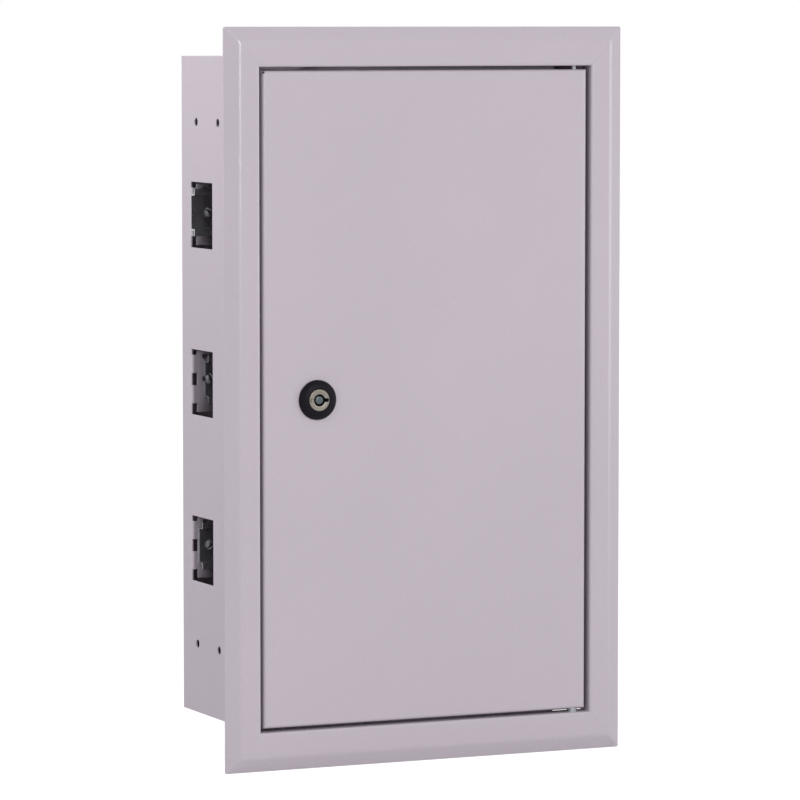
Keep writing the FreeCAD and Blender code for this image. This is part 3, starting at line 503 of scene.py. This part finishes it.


# coat_outside: shade painted onto the tabs and edges inside the box, at 0.28 of the paint's brightness
coat_outside = powder_coat("coat_outside", 0.0005, rough=0.58, gloss=0.4, painted_shade=(box_painted_shade, 0.28))
coat_door = powder_coat("coat_door", 0.0022)
# coat_trim: shade painted into the depth of the door rebate, at 0.6 of the paint's brightness
coat_trim = powder_coat("coat_trim", 0.0, painted_shade=(rebate_painted_shade, 0.6), seam=on_mitre)
zinc = bare_metal("zinc", (0.66, 0.67, 0.68), 0.34, 300.0, 900.0, 0.0003)
rail_zinc = bare_metal("rail_zinc", (0.58, 0.60, 0.61), 0.3, 25.0, 2400.0, 0.0003)
nickel = bare_metal("nickel", (0.225, 0.205, 0.18), 0.42, 700.0, 1500.0)
post_steel = bare_metal("post_steel", (0.09, 0.11, 0.12), 0.35, 700.0, 1500.0)
dull_zinc = bare_metal("dull_zinc", (0.17, 0.17, 0.185), 0.5, 300.0, 900.0)
brass = bare_metal("brass", (0.74, 0.56, 0.27), 0.28, 30.0, 2600.0, 0.0003)
pin_zinc = bare_metal("pin_zinc", (0.42, 0.44, 0.47), 0.5, 300.0, 900.0)
black = moulding("black", (0.006, 0.005, 0.008), 0.45, 0.1)
# keyway: near-black painted shade for the deep faces of the plug's ring groove, not a moulded part
keyway = moulding("keyway", (0.006, 0.006, 0.006), 0.6, 0.1)
polyamide = moulding("polyamide", (0.075, 0.08, 0.09), 0.5, 0.5, 0.0003)

SLOT_MATERIALS = {
    "grey_paint": coat_outside, "zinc_steel": zinc, "rail_steel": rail_zinc, "black_housing": black,
    "nickel_plug": nickel, "brass_bar": brass, "insulator": polyamide,
}
OWN_MATERIALS = {"upper_hinge_pin": pin_zinc, "lower_hinge_pin": pin_zinc, "door_panel": coat_door}
slot_of = {part["node"]: part["material_slot"] for part in frame["record"]["subparts"]}
for node_name, node_object in frame["nodes"].items():
    finish = OWN_MATERIALS.get(node_name, SLOT_MATERIALS[slot_of[node_name]])
    if node_object.material_slots:
        for material_slot in node_object.material_slots:
            material_slot.material = finish
    else:
        node_object.data.materials.append(finish)


# Trim frame: strip folded to its profile and mitred at the corners

def make_strip():
    """Skin folded from the rim over the bevel, the flat and the mouth's wall, and back at one gauge.

    A profile point (out, depth) becomes a rounded rectangle that is larger than the mouth by out,
    at that depth.  The rim lies further out at the top and bottom than at the sides, so the flat
    grows there.  Corners are sharp at the mouth and rounder at the rim.
    """
    side_reach = RIM[0] - MOUTH[0]
    extra = RIM[1] - MOUTH[1] - side_reach
    flat_end = side_reach - BEVEL
    profile = rounded([
        (side_reach, RIM_BACK, 0.3), (side_reach, RIM_BACK + GAUGE, 0.6), (flat_end, TRIM_FACE, 2.0),
        (0, TRIM_FACE, 2.2), (0, STOP_BACK, 0.25), (GAUGE, STOP_BACK, 0.25),
        (GAUGE, TRIM_FACE - GAUGE, 1.3), (flat_end, TRIM_FACE - GAUGE, 1.0)], 9)
    rings = []
    for out, depth in profile:
        more = np.interp(out, FLAT_GROWTH, (0, extra))
        radius = SHARP_CORNER if out < flat_end / 2 else ROUND_CORNER
        loop = rounded_rectangle(MOUTH[0] + out, MOUTH[1] + out + more, radius, 6)
        rings.append(at_depth(loop + (0, -TRIM_DROP), depth))
    return np.concatenate(rings), grid_faces(len(rings), len(rings[0]), True, True)


def stop_outline(grow):
    """Corners of a C, open at the hinge side, that lies outside the mouth by grow."""
    side = -MOUTH[0] - grow
    end = MOUTH[1] + grow
    return [(STOP_END, end - TRIM_DROP), (side, end - TRIM_DROP),
            (side, -end - TRIM_DROP), (STOP_END, -end - TRIM_DROP)]


def make_stop():
    """Door stop: a lip of one gauge carried along the top, the lock side and the bottom of the mouth."""
    loops = []
    for (x0, z0), (x1, z1) in zip(stop_outline(-STOP_WIDTH), stop_outline(STOP_LAP)):
        loops += [(x0, -STOP_FRONT, z0), (x1, -STOP_FRONT, z1), (x1, -STOP_BACK, z1), (x0, -STOP_BACK, z0)]
    return loops, grid_faces(4, 4, False, True) + [[0, 1, 2, 3], [15, 14, 13, 12]]


def make_ears():
    """Four plates behind the stop, each from its outline to its slot at one gauge."""
    outline = rounded_rectangle(*EAR_HALF, EAR_CORNER, 6)
    slot = rounded_rectangle(*EAR_SLOT_HALF, EAR_SLOT_HALF[0] - 0.01, 6)
    front = STOP_FRONT - SKIN
    ears = []
    for side in (-1, 1):
        for up in (-1, 1):
            place = np.array([side * EAR_PLACE, up * (MOUTH[1] - STOP_WIDTH - EAR_HALF[1]) - TRIM_DROP])
            slot_place = place + (0, up * EAR_SLOT_SHIFT)
            loops = [at_depth(slot + slot_place, front), at_depth(outline + place, front),
                     at_depth(outline + place, STOP_BACK), at_depth(slot + slot_place, STOP_BACK)]
            ears.append((np.concatenate(loops), grid_faces(4, len(slot), True, True)))
    return merged(ears)


trim_strip = new_piece("trim_strip", *merged([make_strip(), make_stop()]), coat_trim, "box")
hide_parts("trim_frame")

ears = new_piece("trim_ears", *make_ears(), coat_trim, "box", smooth=False)


# Cam lock

def make_bezel():
    """Housing turned from its rim: a dome over the door, a lip round the plug and the barrel behind."""
    brow = np.linspace(0, math.pi / 2, 12)
    dome_out = BEZEL_RADIUS - DOME_REACH + DOME_REACH * np.sin(brow)
    dome_depth = DOOR_FACE + BEZEL_FOOT + DOME_RISE * np.cos(brow)
    bore = PLUG_RADIUS + PLUG_GAP
    profile = [(bore, BARREL_END), (bore, PLUG_FACE), (PLUG_RADIUS + 0.35, BEZEL_FACE),
               (PLUG_RADIUS + 0.8, BEZEL_FACE), *zip(dome_out, dome_depth), (BEZEL_RADIUS, DOOR_FACE + SKIN),
               (BARREL_RADIUS, DOOR_FACE + SKIN), (BARREL_RADIUS, BARREL_END), (bore, BARREL_END)]
    return turned(profile, LOCK, 96)


def notch_angles(radius, counts):
    """Angles round a ring whose notch edges stay parallel: an edge lies at asin(half width / radius).

    The four runs are the right notch, the top, the left notch and the bottom, counted from +X.
    """
    wide, narrow = (math.asin(min(half / radius, 0.9)) for half in NOTCH_HALVES)
    edges = [-wide, wide, math.pi - narrow, math.pi + narrow, 2 * math.pi - wide]
    runs = [np.linspace(a + NOTCH_EDGE, b - NOTCH_EDGE, n) for a, b, n in zip(edges[:-1], edges[1:], counts)]
    return np.concatenate(runs)


def make_plug():
    """Plug face from its rim over the ring keyway to the centre post, with a deep and a shallow notch."""
    counts = (6, 34, 6, 34)
    run = np.repeat(np.arange(4), counts)
    keyway_floor = PLUG_FACE - KEYWAY_DEPTH
    rim = [(PLUG_RADIUS, PLUG_BACK), (PLUG_RADIUS, PLUG_FACE - 0.35),
           (PLUG_RADIUS - 0.12, PLUG_FACE - 0.1), (PLUG_RADIUS - 0.4, PLUG_FACE)]
    face = [(NOTCH_REACH, PLUG_FACE), (NOTCH_REACH - 0.02, PLUG_FACE), (KEYWAY_RADIUS + 0.3, PLUG_FACE),
            (KEYWAY_RADIUS + 0.15, PLUG_FACE - 0.05), (KEYWAY_RADIUS, PLUG_FACE - 0.3)]
    floor = [(KEYWAY_RADIUS, keyway_floor), (POST_RADIUS, keyway_floor)]
    post = [(POST_RADIUS, PLUG_FACE - 0.9), (POST_RADIUS - 0.15, PLUG_FACE - 0.65),
            (POST_RADIUS - 0.45, PLUG_FACE - 0.55), (0.9, PLUG_FACE - 0.5), (0.3, PLUG_FACE - 0.5)]
    rings = []
    for radius, depth in rim + face + floor + post:
        angle = notch_angles(max(radius, POST_RADIUS), counts)
        depths = np.full(len(angle), depth)
        if KEYWAY_RADIUS <= radius < NOTCH_REACH:
            depths[run == 0] = keyway_floor
            depths[run == 2] = min(depth, PLUG_FACE - NOTCH_STEP)
        ring = [LOCK[0] + radius * np.cos(angle), -depths, LOCK[1] + radius * np.sin(angle)]
        rings.append(np.stack(ring, 1))
    columns = len(run)
    post_end = list(range((len(rings) - 1) * columns, len(rings) * columns))
    return np.concatenate(rings), grid_faces(len(rings), columns, False, True) + [post_end]


def make_tail():
    """Square tail of the plug, for the cam."""
    outline = rounded_rectangle(TAIL_HALF, TAIL_HALF, 0.4, 4) + LOCK
    count = len(outline)
    points = np.concatenate([at_depth(outline, PLUG_BACK), at_depth(outline, TAIL_END)])
    return points, grid_faces(2, count, False, True) + [list(range(count, 2 * count))]


def finish_plug(piece):
    """Keyway faces painted near black as painted shade, and the steel post, told by each face's distance
    from the lock's axis and its depth.
    """
    piece.data.materials.append(keyway)
    piece.data.materials.append(post_steel)
    middle = np.empty(3 * len(piece.data.polygons))
    piece.data.polygons.foreach_get("center", middle)
    middle = middle.reshape(-1, 3) * MM
    reach = np.hypot(middle[:, 0] - LOCK[0], middle[:, 2] - LOCK[1])
    on_post = reach < POST_RADIUS + 0.01
    in_keyway = (-middle[:, 1] < BEZEL_FACE - PAINTED_SHADE_DEPTH) & (reach < NOTCH_REACH + 0.1)
    index = np.where(on_post, 2, np.where(in_keyway, 1, 0))
    piece.data.polygons.foreach_set("material_index", index.astype(np.int32))


bezel = new_piece("lock_bezel", *make_bezel(), black, "door")
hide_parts("lock_housing")

plug = new_piece("plug_face", *make_plug(), nickel, "plug")
finish_plug(plug)
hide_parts("lock_plug")

tail = new_piece("plug_tail", *make_tail(), zinc, "plug", smooth=False)


# Screws

def screw_set(name, node, finish, radius, height, shank, middle_row=False):
    """Slotted heads with plain shanks in place of a node's screws, each slot turned its own way.

    The screws stand at the corners of the node's box, and in a row across its middle.
    """
    low, high = box_of(node)
    seat = -low[1] - height
    tip = -high[1]
    sides = (low[0] + radius, high[0] - radius)
    places = [(x, z) for x in sides for z in (low[2] + radius, high[2] - radius)]
    if middle_row:
        places += [(x, (low[2] + high[2]) / 2) for x in sides]
    rod = [(shank, seat + 0.1), (shank, tip + 0.5), (shank - 0.5, tip), (0.05, tip)]
    under = [(radius, seat), (shank * 0.9, seat)]
    parts = []
    for number, place in enumerate(places):
        parts += [slotted_head(place, seat, radius, height, 0.7 + 1.9 * number),
                  turned(rod, place, 20), turned(under, place, 32)]
    screws = new_piece(name, *merged(parts), finish, "box")
    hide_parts(node)


screw_set("cover_screw_heads", "cover_screws", zinc, radius=4.2, height=2.8, shank=2.0)
screw_set("trim_screw_heads", "trim_screws", zinc, radius=4.0, height=2.6, shank=2.0)
screw_set("foot_screw_heads", "bar_foot_screws", dull_zinc, radius=3.6, height=2.4, shank=2.0)
screw_set("rail_screw_heads", "rail_screws", dull_zinc, radius=4.6, height=3.2, shank=2.5, middle_row=True)


# Camera: fitted to the corners of the trim frame and the box in the photograph

YAW = math.radians(24.31)
PITCH = math.radians(4.61)
FOCUS_PIXELS = 4717.9
PICTURE_PIXELS = 800.0
SENSOR = 36.0
DISTANCE = 3470.3
ACROSS = -20.8
UPWARDS = -2.82


def make_camera():
    """Camera that looks along the fitted direction, moved across and upwards from the trim's middle."""
    view = Vector((math.sin(YAW) * math.cos(PITCH), math.cos(YAW) * math.cos(PITCH), -math.sin(PITCH)))
    right = Vector((math.cos(YAW), -math.sin(YAW), 0))
    upward = right.cross(view)
    eye = right * ACROSS + upward * UPWARDS - view * DISTANCE + Vector((0, -TRIM_FACE, -TRIM_DROP))
    camera = bpy.data.objects.new("camera", bpy.data.cameras.new("camera"))
    bpy.context.scene.collection.objects.link(camera)
    turn = Matrix((right, upward, -view)).transposed().to_4x4()
    camera.matrix_world = Matrix.Translation(eye / MM) @ turn
    camera.data.sensor_width = SENSOR
    camera.data.lens = FOCUS_PIXELS * SENSOR / PICTURE_PIXELS
    camera.data.dof.use_dof = False
    camera.data.clip_end = 50.0
    bpy.context.scene.camera = camera


make_camera()


# Studio

AMBIENT = 0.475
FLOOR_HALF = 6000.0
FLOOR_GAP = 0.05
PAPER = 0.8
PAPER_GLOW = 1.34
GLOW_SHARE = 0.72
MATT = 0.62


def shown_white(tree, seen, lit):
    """Shader for what the eye and mirrors see, and another for the light that it gives."""
    path = tree.nodes.new("ShaderNodeLightPath")
    mix = tree.nodes.new("ShaderNodeMixShader")
    either = math_node(tree, "MAXIMUM", path.outputs["Is Camera Ray"], path.outputs["Is Transmission Ray"])
    either = math_node(tree, "MAXIMUM", either, path.outputs["Is Glossy Ray"])
    tree.links.new(either, mix.inputs[0])
    tree.links.new(lit, mix.inputs[1])
    tree.links.new(seen, mix.inputs[2])
    return mix.outputs[0]


def make_sky():
    """White background whose light on the enclosure is weaker."""
    world = bpy.data.worlds.new("studio")
    bpy.context.scene.world = world
    world.use_nodes = True
    tree = world.node_tree
    ambient = tree.nodes["Background"]
    ambient.inputs["Color"].default_value = (0.98, 0.98, 1.0, 1)
    ambient.inputs["Strength"].default_value = AMBIENT
    backdrop = tree.nodes.new("ShaderNodeBackground")
    backdrop.inputs["Color"].default_value = (1, 1, 1, 1)
    backdrop.inputs["Strength"].default_value = 1.0
    shown = shown_white(tree, backdrop.outputs[0], ambient.outputs[0])
    tree.links.new(shown, tree.nodes["World Output"].inputs[0])


def make_paper():
    """White paper that glows for the eye, and is plain matt for the light that it sends back."""
    material = bpy.data.materials.new("pale_floor")
    material.use_nodes = True
    tree = material.node_tree
    paper = tree.nodes["Principled BSDF"]
    paper.inputs["Base Color"].default_value = (PAPER, PAPER, PAPER, 1)
    paper.inputs["Roughness"].default_value = 0.9
    glow = tree.nodes.new("ShaderNodeEmission")
    glow.inputs["Strength"].default_value = PAPER_GLOW
    both = tree.nodes.new("ShaderNodeMixShader")
    both.inputs[0].default_value = GLOW_SHARE
    tree.links.new(paper.outputs[0], both.inputs[1])
    tree.links.new(glow.outputs[0], both.inputs[2])
    matt = tree.nodes.new("ShaderNodeBsdfDiffuse")
    matt.inputs["Color"].default_value = (MATT, MATT, MATT, 1)
    shown = shown_white(tree, both.outputs[0], matt.outputs[0])
    tree.links.new(shown, tree.nodes["Material Output"].inputs[0])
    return material


def make_floor():
    """Floor just under the lowest point of the solids."""
    height = cad_bounds[0][2] * MM - FLOOR_GAP
    corners = [(-FLOOR_HALF, -FLOOR_HALF, height), (FLOOR_HALF, -FLOOR_HALF, height),
               (FLOOR_HALF, FLOOR_HALF, height), (-FLOOR_HALF, FLOOR_HALF, height)]
    mesh = bpy.data.meshes.new("floor")
    mesh.from_pydata((np.array(corners) / MM).tolist(), [], [(0, 1, 2, 3)])
    mesh.materials.append(make_paper())
    floor = bpy.data.objects.new("floor", mesh)
    bpy.context.scene.collection.objects.link(floor)


def soft_light(name, place_m, target_m, size_m, power, spread=180):
    """Area light aimed at a point: places and sizes in metres, power in watts, spread in degrees."""
    lamp = bpy.data.lights.new(name, "AREA")
    lamp.shape = "RECTANGLE"
    lamp.size, lamp.size_y = size_m
    lamp.energy = power
    lamp.spread = math.radians(spread)
    holder = bpy.data.objects.new(name, lamp)
    bpy.context.scene.collection.objects.link(holder)
    place = Vector(place_m)
    aim = (Vector(target_m) - place).to_track_quat("-Z", "Y")
    holder.matrix_world = Matrix.Translation(place) @ aim.to_matrix().to_4x4()


make_sky()
make_floor()
soft_light("front", (0.1, -2.5, 0.75), (0, -0.1, 0.1), (0.45, 1.2), 18.5)
soft_light("right", (2.1, -1.75, 0.15), (0, -0.1, -0.05), (1.1, 1.2), 12.5)
soft_light("left_front", (-1.8, -1.1, 0.8), (0, -0.1, 0.0), (0.6, 0.6), 4.0)
soft_light("left", (-1.2, 0.3, 0.9), (-0.136, -0.07, 0.45), (0.6, 0.6), 2.2, spread=80)
soft_light("back", (-0.1, 2.0, 1.6), (0, 0, 0), (1.2, 1.2), 12.0)

bpy.context.scene.view_settings.view_transform = "Standard"
